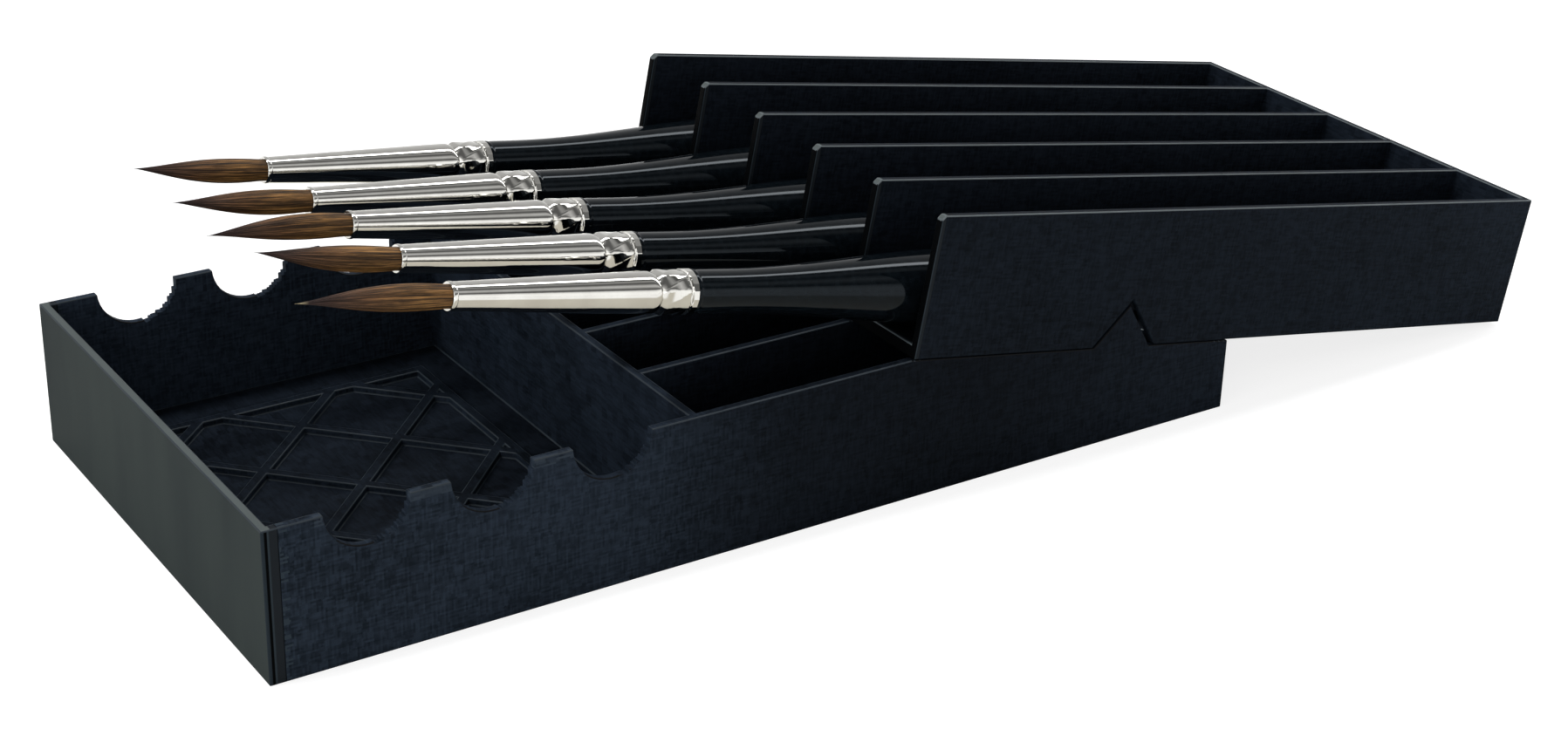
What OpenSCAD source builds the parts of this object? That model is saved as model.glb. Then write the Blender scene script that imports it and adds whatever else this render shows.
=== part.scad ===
// Printed brush box: a shallow base and a five-channel brush tray that is keyed onto its sloped end.
// Millimetres. The origin is the centre of the base's underside, +X runs towards the low end, +Z is up.

/* [Base] */
// Length of the base
base_l = 200; // [190:1:240]
// Width of the base and of the tray
box_w = 100; // [95:1:130]
// Height of the base at its level end
base_h = 28; // [25:0.5:36]
// Height of the base at its low end
base_end_h = 14.4; // [11:0.1:18]
// Length of the sloped seat, measured level
seat_run = 76; // [70:1:90]
// Thickness of every upright wall
wall = 1.6; // [1.2:0.1:2]
// Thickness of the base's floor
base_floor = 2; // [1.2:0.1:3]
// Clear length of the open well
well_l = 76.8; // [72:0.1:84]

/* [Brush rests] */
// Radius of a rest scooped out of a side wall
rest_r = 7.5; // [5:0.1:9]
// Height of a rest's centre above the wall's top edge
rest_rise = 0.4; // [0:0.1:2]
// Distance of the first rest from the level end
rest_first = 18; // [15:0.1:22]
// Distance from one rest to the next
rest_pitch = 22.4; // [19:0.1:24]
// Number of rests in each side wall
rest_count = 3; // [1:1:3]

/* [Well floor ribs] */
// Length of the ribbed field along the box
field_l = 62; // [40:1:66]
// Width of the ribbed field
field_w = 78; // [50:1:86]
// Height of a rib above the floor
rib_h = 1.2; // [0.4:0.1:2]
// Width of a rib
rib_w = 2; // [1:0.1:3]
// Distance from one diagonal rib to the next
rib_pitch = 19; // [12:0.5:30]

/* [Tray] */
// Length of the tray
tray_l = 155.3; // [145:0.1:170]
// Height of the tray's walls
tray_h = 27; // [24:0.1:32]
// Thickness of the tray's floor
tray_floor = 2.4; // [1.6:0.1:3.2]
// Chamfer on the top corner of each wall at the open end
corner_cut = 0.8; // [0.2:0.1:2]

/* [Key between tray and base] */
// Distance of the notch from the tray's open end
notch_at = 49.75; // [40:0.05:60]
// Width of the notch at the tray's underside
notch_w = 15.5; // [12:0.1:18]
// Height of the notch
notch_h = 9.4; // [8:0.1:11]
// Clearance between a flank of the notch and the key's flank
key_gap = 0.7; // [0.3:0.05:1]
// Clearance between the key and the edge of the tray's floor
key_side_gap = 0.3; // [0.1:0.05:0.5]
// Clearance between the tray's underside and the seat
seat_gap = 0.15; // [0.05:0.01:0.3]
// How far the tray has settled down the slope
tray_slip = 0.4; // [0:0.05:0.6]

/* [Brush] */
// Length of the hair in front of the ferrule
hair_l = 25.8; // [20:0.1:32]
// Largest diameter of the hair
hair_d = 4.6; // [3.6:0.1:5]
// Length of the ferrule
ferrule_l = 46.2; // [40:0.1:52]
// Outer diameter of the ferrule at the hair
mouth_d = 4.3; // [4:0.1:5]
// Outer diameter of the ferrule's cone at the crimps
cone_d = 6.6; // [6:0.1:7]
// Outer diameter of the crimp band and of the end ring
band_d = 7; // [6.8:0.1:8]
// Thickness of the ferrule's metal
ferrule_wall = 0.35; // [0.25:0.05:0.45]
// Diameter of the handle where it leaves the ferrule
neck_d = 6.8; // [6.4:0.1:7.2]
// Diameter of the handle's belly
belly_d = 14; // [10:0.1:16]
// Distance from the ferrule to the handle's belly
swell_l = 61; // [50:0.5:70]
// Distance from the belly to the handle's end
tail_l = 61; // [50:0.5:66]
// Diameter at the end of the handle
end_d = 3.8; // [3:0.1:5]

/* [Brushes in the tray] */
// How far a brush reaches out of the tray
reach = 114.4; // [100:0.1:120]
// Clearance under a handle's belly
rest_gap = 0.3; // [0.1:0.05:0.5]

/* [Hidden] */
$fn = 96;
channels = 5;

shell_colour = [0.09, 0.10, 0.12];
lacquer_colour = [0.03, 0.03, 0.04];
nickel_colour = [0.80, 0.79, 0.76];
sable_colour = [0.48, 0.30, 0.18];

// Small overshoot that carries a cut past the face it opens
past = 1;

// Base, measured from its level end at x = -base_l / 2
level_x = -base_l / 2;
kink_x = base_l / 2 - seat_run;
tilt = atan((base_h - base_end_h) / seat_run);
well_x = level_x + wall;
lanes_x = well_x + well_l + wall;
lanes_l = base_l / 2 - wall - lanes_x;

// Channels of the tray and lanes of the base share one pitch
pitch = (box_w - wall) / channels;
channel_w = pitch - wall;
function channel_y(i) = (i - (channels - 1) / 2) * pitch;

// Key: the notch's triangle drawn in by the flank clearance
notch_flank = norm([notch_w / 2, notch_h]);
key_h = notch_h - key_gap * notch_flank / (notch_w / 2);
key_w = notch_w * key_h / notch_h;
notch_depth = wall + key_side_gap + past;

// Brush, measured along its axis from the tip
ferrule_s = hair_l;
handle_s = hair_l + ferrule_l;
belly_s = handle_s + swell_l;
end_s = belly_s + tail_l;
straight_neck_l = 7;
hair_widest = 0.73;
hair_taper = 1.4;
root_l = 8;
spigot_l = 30;
fit = 0.03;
profile_steps = 20;

// Ferrule stations, measured from the mouth and back from the end
lip_l = 0.8;
lip_out = 0.12;
shoulder_back = 8.8;
groove_back = 7.3;
groove_depth = 0.55;
band_back = 6.6;
ring_groove_back = 1.6;
ring_groove_depth = 0.3;
ring_back = 1.3;
edge_round = 0.3;

// Brushes lie loosely: each one's further reach, shift to the side, swing to the side and lift of its tip
reach_more = [1.9, 1.3, 0.2, -0.1, 0.1];
side_shift = [-0.8, 0.2, 0.3, 1.1, -0.5];
swing = [-0.4, -1, -0.6, -2.5, -2.1];
tip_lift = [1.4, 1, 0.3, -0.5, -0.8];

// A point of the side view, from its distance down the seat and its height above the seat
function seat_point(down, up) = [
    kink_x + down * cos(tilt) + up * sin(tilt),
    base_h - down * sin(tilt) + up * cos(tilt)
];

// Outline of a side wall seen from the side: level, then sloping down from the kink, with the key on the slope
module base_outline() {
    polygon([
        [level_x, 0],
        [base_l / 2, 0],
        [base_l / 2, base_end_h],
        seat_point(notch_at + key_w / 2, 0),
        seat_point(notch_at, key_h),
        seat_point(notch_at - key_w / 2, 0),
        [kink_x, base_h],
        [level_x, base_h]
    ]);
}

// What is cleared from between the two keys, down to the seat
module between_keys_outline() {
    polygon([
        seat_point(notch_at - key_w / 2, 0),
        seat_point(notch_at + key_w / 2, 0),
        seat_point(notch_at + key_w / 2, key_h + past),
        seat_point(notch_at - key_w / 2, key_h + past)
    ]);
}

// Stands a side outline up and gives it a width, centred on y
module across(width, y = 0) {
    translate([0, y + width / 2, 0]) rotate([90, 0, 0]) linear_extrude(height = width) children();
}

// The notch in the tray's own axes, carried on below the tray's underside
module notch_outline() {
    polygon([
        [notch_at - notch_w / 2, -past],
        [notch_at + notch_w / 2, -past],
        [notch_at + notch_w / 2, 0],
        [notch_at, notch_h],
        [notch_at - notch_w / 2, 0]
    ]);
}

// The tray's own axes: x along it from the open end, z up from its underside
module in_tray() {
    translate([kink_x, 0, base_h]) rotate([0, tilt, 0]) translate([tray_slip, 0, seat_gap]) children();
}

// Diagonal ribs in both directions inside a rectangular frame: a grip for a water pot
module rib_field_outline() {
    field_x = well_x + well_l / 2;
    reach_of_ribs = ceil((field_l + field_w) / rib_pitch);
    translate([field_x, 0]) {
        difference() {
            square([field_l, field_w], center = true);
            square([field_l - 2 * rib_w, field_w - 2 * rib_w], center = true);
        }
        intersection() {
            square([field_l, field_w], center = true);
            for (side = [-45, 45], k = [-reach_of_ribs : reach_of_ribs]) {
                rotate(side) translate([0, k * rib_pitch]) {
                    square([2 * (field_l + field_w), rib_w], center = true);
                }
            }
        }
    }
}

// The base: an open well, five lanes behind a partition, and a sloped seat with a key on each side
module base() {
    color(shell_colour) {
        difference() {
            across(box_w) base_outline();
            across(box_w - 2 * wall) between_keys_outline();
            translate([well_x, wall - box_w / 2, base_floor]) {
                cube([well_l, box_w - 2 * wall, base_h]);
            }
            for (i = [0 : channels - 1]) {
                translate([lanes_x, channel_y(i) - channel_w / 2, base_floor]) {
                    cube([lanes_l, channel_w, base_h]);
                }
            }
            for (k = [0 : rest_count - 1]) {
                translate([level_x + rest_first + k * rest_pitch, 0, base_h + rest_rise]) {
                    rotate([90, 0, 0]) cylinder(r = rest_r, h = box_w + 2 * past, center = true);
                }
            }
        }
        translate([0, 0, base_floor]) linear_extrude(height = rib_h) rib_field_outline();
    }
}

// The tray: five channels, open at the top and at the raised end, with a notch in each side wall
module tray() {
    color(shell_colour) in_tray() {
        difference() {
            translate([0, -box_w / 2, 0]) cube([tray_l, box_w, tray_h]);
            for (i = [0 : channels - 1]) {
                translate([-past, channel_y(i) - channel_w / 2, tray_floor]) {
                    cube([tray_l - wall + past, channel_w, tray_h]);
                }
            }
            for (side = [-1, 1]) {
                across(notch_depth, side * ((box_w - notch_depth) / 2 + past)) notch_outline();
            }
            across(box_w + 2 * past) {
                polygon([[-past, tray_h - corner_cut - past], [-past, tray_h + past], [corner_cut + past, tray_h + past]]);
            }
        }
    }
}

// Radius of the hair at s from the tip: a domed taper to a point, then slightly drawn in at the ferrule
function hair_r(s) =
    let (widest_s = hair_widest * hair_l, mouth_r = mouth_d / 2 - ferrule_wall)
    s < widest_s
        ? hair_d / 2 * pow(1 - pow(1 - s / widest_s, 2), hair_taper)
        : hair_d / 2 - (hair_d / 2 - mouth_r + fit) * pow((s - widest_s) / (hair_l - widest_s), 2);

// Radius of the ferrule's cone at s from its mouth
cone_l = ferrule_l - shoulder_back;
function cone_r(s) = mouth_d / 2 + (cone_d - mouth_d) / 2 * min(s / cone_l, 1);

// Radius of the handle at s from the tip: a straight neck, an S-curve up to the belly, a slender tail
function handle_r(s) =
    let (
        rise_l = swell_l - straight_neck_l,
        rise = (s - handle_s - straight_neck_l) / rise_l,
        fall = (s - belly_s) / tail_l
    )
    rise <= 0 ? neck_d / 2
    : rise < 1 ? neck_d / 2 + (belly_d - neck_d) / 2 * (1 - cos(180 * rise)) / 2
    : end_d / 2 + (belly_d - end_d) / 2 * (1 + cos(180 * pow(fall, 0.85))) / 2;

// Outside of the ferrule from the mouth to the end, as [radius, distance] pairs
ferrule_outside = [
    [mouth_d / 2, 0],
    [mouth_d / 2 + lip_out, lip_l * 0.3],
    [mouth_d / 2 + lip_out, lip_l * 0.7],
    [cone_r(lip_l), lip_l],
    [cone_d / 2, cone_l],
    [cone_d / 2 - groove_depth * 0.25, cone_l + (shoulder_back - groove_back) * 0.5],
    [cone_d / 2 - groove_depth, ferrule_l - groove_back],
    [band_d / 2 - edge_round, ferrule_l - band_back],
    [band_d / 2, ferrule_l - band_back + 2 * edge_round],
    [band_d / 2, ferrule_l - ring_groove_back - 2 * edge_round],
    [band_d / 2 - ring_groove_depth, ferrule_l - ring_groove_back],
    [band_d / 2, ferrule_l - ring_back],
    [band_d / 2, ferrule_l - edge_round],
    [band_d / 2 - edge_round / 2, ferrule_l]
];

// Inside of the ferrule: the hair's cone, then a bore for the handle's spigot
bore_r = cone_d / 2 - groove_depth - ferrule_wall;
bore_s = ferrule_l - spigot_l;
bore_start_r = min(cone_r(bore_s) - ferrule_wall, bore_r);
ferrule_inside = [
    [bore_r, ferrule_l],
    [bore_r, ferrule_l - shoulder_back],
    [bore_start_r, bore_s],
    [mouth_d / 2 - ferrule_wall, 0]
];

// Lays a solid of revolution along the brush's own axis, which runs from the tip towards +X
module along_brush() {
    rotate([0, 90, 0]) rotate_extrude() children();
}

// Seats a brush by its belly in its channel
module in_channel(i) {
    in_tray() {
        translate([
            belly_s - reach - reach_more[i],
            channel_y(i) + side_shift[i],
            tray_floor + rest_gap + belly_d / 2
        ]) {
            rotate([0, tip_lift[i], -swing[i]]) translate([-belly_s, 0, 0]) children();
        }
    }
}

// The hair, with its root held in the ferrule
module hair() {
    root_r = mouth_d / 2 - ferrule_wall - fit;
    color(sable_colour) along_brush() polygon(concat(
        [[0, 0]],
        [for (k = [1 : profile_steps]) [hair_r(k * hair_l / profile_steps), k * hair_l / profile_steps]],
        [[root_r, hair_l + root_l], [0, hair_l + root_l]]
    ));
}

// The ferrule: a cone of drawn metal with a lip, a crimp band and an end ring
module ferrule() {
    color(nickel_colour) translate([ferrule_s, 0, 0]) along_brush() {
        polygon(concat(ferrule_outside, ferrule_inside));
    }
}

// The handle: a spigot in the ferrule, then the neck, the belly and the tail with a rounded end
module handle() {
    spigot_start = handle_s - spigot_l;
    body_steps = 2 * profile_steps;
    step = (end_s - end_d / 2 - handle_s) / body_steps;
    color(lacquer_colour) along_brush() polygon(concat(
        [
            [0, spigot_start],
            [bore_start_r - fit, spigot_start],
            [bore_r - fit, handle_s - shoulder_back],
            [bore_r - fit, handle_s + fit]
        ],
        [for (k = [0 : body_steps]) [handle_r(handle_s + k * step), handle_s + fit + k * step]],
        [for (a = [15 : 15 : 75]) [end_d / 2 * cos(a), end_s - end_d / 2 + end_d / 2 * sin(a)]],
        [[0, end_s]]
    ));
}

base();
tray();
for (i = [0 : channels - 1]) {
    in_channel(i) handle();
    in_channel(i) ferrule();
    in_channel(i) hair();
}
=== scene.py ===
import math
import bpy
import bmesh
import numpy as np
from mathutils import Euler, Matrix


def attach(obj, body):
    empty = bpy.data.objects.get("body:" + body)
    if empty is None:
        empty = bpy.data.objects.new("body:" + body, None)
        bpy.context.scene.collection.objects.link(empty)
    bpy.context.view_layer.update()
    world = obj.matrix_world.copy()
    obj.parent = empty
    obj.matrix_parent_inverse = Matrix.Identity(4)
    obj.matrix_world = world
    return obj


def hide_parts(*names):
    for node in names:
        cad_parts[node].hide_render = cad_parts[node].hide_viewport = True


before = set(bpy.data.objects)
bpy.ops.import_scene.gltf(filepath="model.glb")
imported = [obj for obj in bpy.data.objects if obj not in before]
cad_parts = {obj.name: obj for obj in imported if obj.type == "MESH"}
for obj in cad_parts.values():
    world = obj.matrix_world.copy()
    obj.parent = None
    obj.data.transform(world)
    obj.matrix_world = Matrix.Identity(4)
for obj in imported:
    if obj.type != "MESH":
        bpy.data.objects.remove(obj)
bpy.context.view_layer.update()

# Printed brush box: a base with a well and lanes, a five-channel tray keyed on its sloped end,
# and five round brushes lying in the tray. Sizes are millimetres until they go into a mesh.
mm = 0.001
asColour = {"data_type": "RGBA"}                              # settings of a node that mixes two colours
asProduct = {"data_type": "RGBA", "blend_type": "MULTIPLY"}   # and of one that multiplies them


def srgb(hexColour):
    # linear = c / 12.92 for dark values, else ((c + 0.055) / 1.055) ^ 2.4
    parts = np.array([int(hexColour[k:k + 2], 16) for k in (1, 3, 5)]) / 255
    linear = np.where(parts <= 0.04045, parts / 12.92, ((parts + 0.055) / 1.055) ** 2.4)
    return (*[float(part) for part in linear], 1.0)


def addNode(tree, kind, inputs=None, **settings):
    # settings are the node's own fields; inputs holds values, or sockets to link from
    node = tree.nodes.new(kind)
    for name, value in settings.items():
        setattr(node, name, value)
    for name, value in (inputs or {}).items():
        if isinstance(value, bpy.types.NodeSocket):
            tree.links.new(value, node.inputs[name])
        else:
            node.inputs[name].default_value = value
    return node


def newMaterial(name):
    material = bpy.data.materials.new(name)
    material.use_nodes = True
    material.node_tree.nodes.clear()
    return material, material.node_tree


def setRamp(node, stops):
    # stops are (position, hex colour or grey value)
    ramp = node.color_ramp
    while len(ramp.elements) > 1:
        ramp.elements.remove(ramp.elements[-1])
    for k, (position, value) in enumerate(stops):
        stop = ramp.elements[0] if k == 0 else ramp.elements.new(position)
        stop.position = position
        stop.color = srgb(value) if isinstance(value, str) else (value, value, value, 1)
    return node


def mask(tree, *tests):
    # 1 where every test holds, else 0; a test is (value, "above" or "below", limit)
    result = 1.0
    for value, side, limit in tests:
        comparison = "GREATER_THAN" if side == "above" else "LESS_THAN"
        held = addNode(tree, "ShaderNodeMath", {0: value, 1: limit}, operation=comparison).outputs[0]
        result = addNode(tree, "ShaderNodeMath", {0: held, 1: result}, operation="MULTIPLY").outputs[0]
    return result


def meshObject(name, points, faces, material, body=None, node=None, smoothAngle=None):
    # points in mm; faces is a list of index lists
    mesh = bpy.data.meshes.new(name)
    mesh.from_pydata((np.asarray(points) * mm).tolist(), [], faces)
    mesh.validate()
    mesh.materials.append(material)
    if smoothAngle:
        mesh.polygons.foreach_set("use_smooth", [True] * len(mesh.polygons))
        mesh.set_sharp_from_angle(angle=math.radians(smoothAngle))
    piece = bpy.data.objects.new(name, mesh)
    bpy.context.scene.collection.objects.link(piece)
    if body:
        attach(piece, body)
        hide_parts(node)
    return piece


print("printed plastic")

shell = {
    "baseLength": 200, "baseWidth": 100, "baseHeight": 28, "seatRun": 76, "seatDrop": 13.6,
    "trayShift": (0.4, 0.15),     # slip down the seat and gap above it
    "edge": 0.22,                 # rounding of a printed edge
    "edgeAngle": 40,              # degrees between two faces, from which their edge is rounded
    "litFrom": 0.28,             # upward part of the normal from which an edge takes the pale edge material: painted highlight, with wear
    # scooped rests in the side walls; their centres lie restRise over the wall
    "restRadius": 7.5, "restRise": 0.4, "restFirst": 18, "restPitch": 22.4, "restCount": 3,
    # sagged layers on the overhanging flank of a rest, from just right of its lowest place to just past it
    "toothPitch": 0.5, "toothDepth": 0.55, "toothFrom": 1.2, "toothPast": 0.15,
    "toothTop": 2.0, "toothFoot": 0.8,      # where their inside closes, over the rest's centre and its foot
    "onBed": 0.02,                # how far from the bed's plane a face still counts as lying on it
}
kinkX = shell["baseLength"] / 2 - shell["seatRun"]
tilt = math.atan2(shell["seatDrop"], shell["seatRun"])

printLook = {
    # mm; the real layers of 0.2 mm are too fine to show. No flat face lies on a multiple of either.
    "fine": 0.37, "long": 1.9,
    "span": 400,                  # a cell that reaches past the whole box
    "push": 9,                    # how far rows of cells are pushed at most, in lengths of a cell
    "drift": 30,                  # mm, slow changes of tone
    "weaveShare": 0.23, "driftShare": 0.35,
    "tones": [(0.15, "#141a21"), (0.61, "#29323e")],     # matt black plastic with a cold cast
    "flatFrom": 0.7,              # upward part of the normal from which a face counts as level
    # the low, level faces: their shade, because the soft light hardly reaches into the well, and their height
    "wellFloor": 0.45, "floorUpTo": 6,
    # pulled layers along the wall's top at the rests: depth, half distance between the walls, reach along x
    "lip": "#2f3740", "lipDepth": 1.6, "lipFrom": 49.0, "lipReach": (-91.0, -36.0),
    # across the strip that the bed pressed smooth: foot, groove (painted shade), ridge (painted highlight),
    # flat, last layer before the weave
    "strip": [(0.0, "#232a30"), (0.16, "#232a30"), (0.21, "#020304"), (0.34, "#020304"),
              (0.38, "#2a3238"), (0.44, "#2a3238"), (0.5, "#1d2125"), (0.93, "#1d2125"),
              (0.97, "#07090c"), (1.0, "#07090c")],
    "tick": "#2b343c", "tickFrom": 1.02,                 # ends of the wall's own lines, next to the strip
    "litRim": "#4b5151", "rimDepth": 1.7, "rimFrom": 20,    # painted highlight: the level top of the end wall, paler as if lit from the left
    "roughness": (0.49, 0.63), "roughestAt": 0.8, "specular": 0.02, "bump": 0.35, "bumpDepth": 0.05,
}


def cells(tree, place, size):
    # one random value for each box-shaped cell of the given size in mm
    perMetre = [1 / (c * mm) for c in size]
    scaled = addNode(tree, "ShaderNodeVectorMath", {0: place, 1: perMetre}, operation="MULTIPLY")
    corner = addNode(tree, "ShaderNodeVectorMath", {0: scaled.outputs[0]}, operation="FLOOR")
    noise = addNode(tree, "ShaderNodeTexWhiteNoise", {"Vector": corner.outputs[0]}, noise_dimensions="3D")
    return noise.outputs[0]


def threads(tree, place, fineAxis):
    # short lines across fineAxis: one random value for each cell, with every row of cells pushed its own way
    fine, long = printLook["fine"], printLook["long"]
    row = cells(tree, place, [fine if axis == fineAxis else printLook["span"] for axis in range(3)])
    push = [0 if axis == fineAxis else printLook["push"] * long * mm for axis in range(3)]
    pushed = addNode(tree, "ShaderNodeVectorMath", {0: row, 1: push, 2: place}, operation="MULTIPLY_ADD")
    return cells(tree, pushed.outputs[0], [fine if axis == fineAxis else long for axis in range(3)])


def printedPlastic(name, bedX, strip, ticks, paintedFade, lean=0.0, origin=(0, 0, 0)):
    # Matt black PLA, printed standing on its end: a weave of fine lines up and along the walls, and beside
    # the bed at bedX a smooth strip. ticks is the length of the lines' pale ends, as a share of the strip,
    # and the shade ramp it is given, painted shade, darkens the plastic's colour at places given in mm from
    # the bed.
    look = printLook
    material, tree = newMaterial(name)
    place = addNode(tree, "ShaderNodeTexCoord").outputs["Object"]
    moved = addNode(tree, "ShaderNodeVectorMath", {0: place, 1: [-c * mm for c in origin]}).outputs[0]
    turned = addNode(tree, "ShaderNodeMapping", {"Vector": moved, "Rotation": (0, -lean, 0)}).outputs[0]
    x, y, z = addNode(tree, "ShaderNodeSeparateXYZ", {0: turned}).outputs
    normal = addNode(tree, "ShaderNodeNewGeometry").outputs["True Normal"]
    up = addNode(tree, "ShaderNodeSeparateXYZ", {0: normal}).outputs["Z"]
    fromBed = addNode(tree, "ShaderNodeMath", {0: x, 1: bedX * mm}, operation="SUBTRACT").outputs[0]

    # the weave, with a slow drift over the wall
    upward, lengthwise = threads(tree, turned, 0), threads(tree, turned, 2)
    weave = addNode(tree, "ShaderNodeMath", {0: upward, 1: lengthwise}, operation="ADD").outputs[0]
    drift = addNode(tree, "ShaderNodeTexNoise",
                    {"Vector": turned, "Scale": 1 / (look["drift"] * mm), "Detail": 1.0}).outputs[0]
    faint = addNode(tree, "ShaderNodeMath", {0: drift, 1: look["driftShare"]}, operation="MULTIPLY")
    mixed = addNode(tree, "ShaderNodeMath", {0: weave, 1: look["weaveShare"], 2: faint.outputs[0]},
                    operation="MULTIPLY_ADD").outputs[0]
    tone = setRamp(addNode(tree, "ShaderNodeValToRGB", {0: mixed}), look["tones"])

    # painted shade along the walls, and painted shade on the low, level faces in the well
    spread = paintedFade[-1][0]
    reach = addNode(tree, "ShaderNodeMath", {0: fromBed, 1: 1 / (spread * mm)}, operation="MULTIPLY")
    shade = setRamp(addNode(tree, "ShaderNodeValToRGB", {0: reach.outputs[0]}),
                    [(distance / spread, level) for distance, level in paintedFade])
    shaded = addNode(tree, "ShaderNodeMix", {0: 1.0, 6: tone.outputs[0], 7: shade.outputs[0]}, **asProduct)
    onFloor = mask(tree, (up, "above", look["flatFrom"]), (z, "below", look["floorUpTo"] * mm))
    floorShade = addNode(tree, "ShaderNodeMath", {0: onFloor, 1: look["wellFloor"] - 1, 2: 1.0},
                         operation="MULTIPLY_ADD")
    shaded = addNode(tree, "ShaderNodeMix", {0: 1.0, 6: shaded.outputs[2], 7: floorShade.outputs[0]},
                     **asProduct)

    # pulled layers over the rests
    outward = addNode(tree, "ShaderNodeMath", {0: y}, operation="ABSOLUTE").outputs[0]
    onLip = mask(tree, (z, "above", (shell["baseHeight"] - look["lipDepth"]) * mm),
                 (outward, "above", look["lipFrom"] * mm),
                 (x, "above", look["lipReach"][0] * mm), (x, "below", look["lipReach"][1] * mm))
    pulled = addNode(tree, "ShaderNodeMath", {0: onLip, 1: lengthwise}, operation="MULTIPLY").outputs[0]
    lipped = addNode(tree, "ShaderNodeMix", {0: pulled, 6: shaded.outputs[2], 7: srgb(look["lip"])},
                     **asColour)

    # the strip beside the bed, the ragged ends of the lines next to it, and a painted highlight on the end
    # wall's top
    across = addNode(tree, "ShaderNodeMath", {0: fromBed, 1: 1 / (strip * mm)},
                     operation="MULTIPLY").outputs[0]
    rows = cells(tree, turned, (look["span"], look["fine"], look["fine"]))
    ragged = addNode(tree, "ShaderNodeMath", {0: rows, 1: -ticks, 2: across}, operation="MULTIPLY_ADD")
    inTicks = mask(tree, (across, "above", look["tickFrom"]), (ragged.outputs[0], "below", 1 - ticks / 2))
    ticked = addNode(tree, "ShaderNodeMix", {0: inTicks, 6: lipped.outputs[2], 7: srgb(look["tick"])},
                     **asColour)
    inStrip = mask(tree, (across, "below", 1.0))
    # the groove is painted near black as painted shade, the ridge paler as a painted highlight
    stripTone = setRamp(addNode(tree, "ShaderNodeValToRGB", {0: across}), look["strip"])
    edged = addNode(tree, "ShaderNodeMix", {0: inStrip, 6: ticked.outputs[2], 7: stripTone.outputs[0]},
                    **asColour)
    # painted highlight: the level top of the end wall is made paler, as if lit from the left
    onLitRim = mask(tree, (up, "above", look["flatFrom"]), (fromBed, "below", look["rimDepth"] * mm),
                 (z, "above", look["rimFrom"] * mm))
    colour = addNode(tree, "ShaderNodeMix", {0: onLitRim, 6: edged.outputs[2], 7: srgb(look["litRim"])},
                     **asColour)

    woven = addNode(tree, "ShaderNodeMath", {0: 1.0, 1: inStrip}, operation="SUBTRACT").outputs[0]
    height = addNode(tree, "ShaderNodeMath", {0: weave, 1: woven}, operation="MULTIPLY").outputs[0]
    bump = addNode(tree, "ShaderNodeBump", {"Height": height, "Strength": look["bump"],
                                            "Distance": look["bumpDepth"] * mm})
    shine = addNode(tree, "ShaderNodeMapRange", {"Value": mixed, "From Max": look["roughestAt"],
                                                 "To Min": look["roughness"][0],
                                                 "To Max": look["roughness"][1]})
    surface = addNode(tree, "ShaderNodeBsdfPrincipled",
                      {"Base Color": colour.outputs[2], "Roughness": shine.outputs[0],
                       "Specular IOR Level": look["specular"], "Normal": bump.outputs[0]})
    addNode(tree, "ShaderNodeOutputMaterial", {"Surface": surface.outputs[0]})
    return material


bedLook = {
    "cloud": 14, "upright": 0.25,       # mm, and how little the clouds change with height
    "grain": 0.35, "bump": 0.15, "bumpDepth": 0.05,
    # the grey tones are a painted sheen, standing in for the light on the end face
    "tones": [(0.3, "#22292b"), (0.7, "#2c3333")],
    "roughness": 0.62, "specular": 0.05,
}


def bedFace(name):
    # The face that lay on the print bed: the same black, smoother, with a fine grain, and a paler grey
    # colour that is a painted sheen
    look = bedLook
    material, tree = newMaterial(name)
    place = addNode(tree, "ShaderNodeTexCoord").outputs["Object"]
    stretched = addNode(tree, "ShaderNodeMapping", {"Vector": place, "Scale": (1, 1, look["upright"])})
    cloud = addNode(tree, "ShaderNodeTexNoise",
                    {"Vector": stretched.outputs[0], "Scale": 1 / (look["cloud"] * mm), "Detail": 4.0})
    grain = addNode(tree, "ShaderNodeTexNoise",
                    {"Vector": place, "Scale": 1 / (look["grain"] * mm), "Detail": 2.0})
    tone = setRamp(addNode(tree, "ShaderNodeValToRGB", {0: cloud.outputs[0]}), look["tones"])
    bump = addNode(tree, "ShaderNodeBump", {"Height": grain.outputs[0], "Strength": look["bump"],
                                            "Distance": look["bumpDepth"] * mm})
    surface = addNode(tree, "ShaderNodeBsdfPrincipled",
                      {"Base Color": tone.outputs[0], "Roughness": look["roughness"],
                       "Specular IOR Level": look["specular"], "Normal": bump.outputs[0]})
    addNode(tree, "ShaderNodeOutputMaterial", {"Surface": surface.outputs[0]})
    return material


edgeLook = {
    "patch": 7,                         # mm, size of the patches that hands rub
    "fresh": "#05070a",                 # where nothing rubs
    "wear": (0.1, 0.3, 0.7),            # noise at which the edge is fresh, is rubbed and painted pale, and is rubbed smoothest
    "roughness": (0.6, 0.32), "smoothFrom": 0.2,
    "dash": 1.2, "dark": 0.36,          # mm, and the dark part of half a dash, which is 0.5
    # painted shade keeps the edges dark inside the rests: their height, the depth of the wall's top over them
    # that stays pale, and the end wall's part that stays pale
    "restsFrom": 15, "restsUnder": 0.4, "endWall": 0.5,
}


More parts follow.
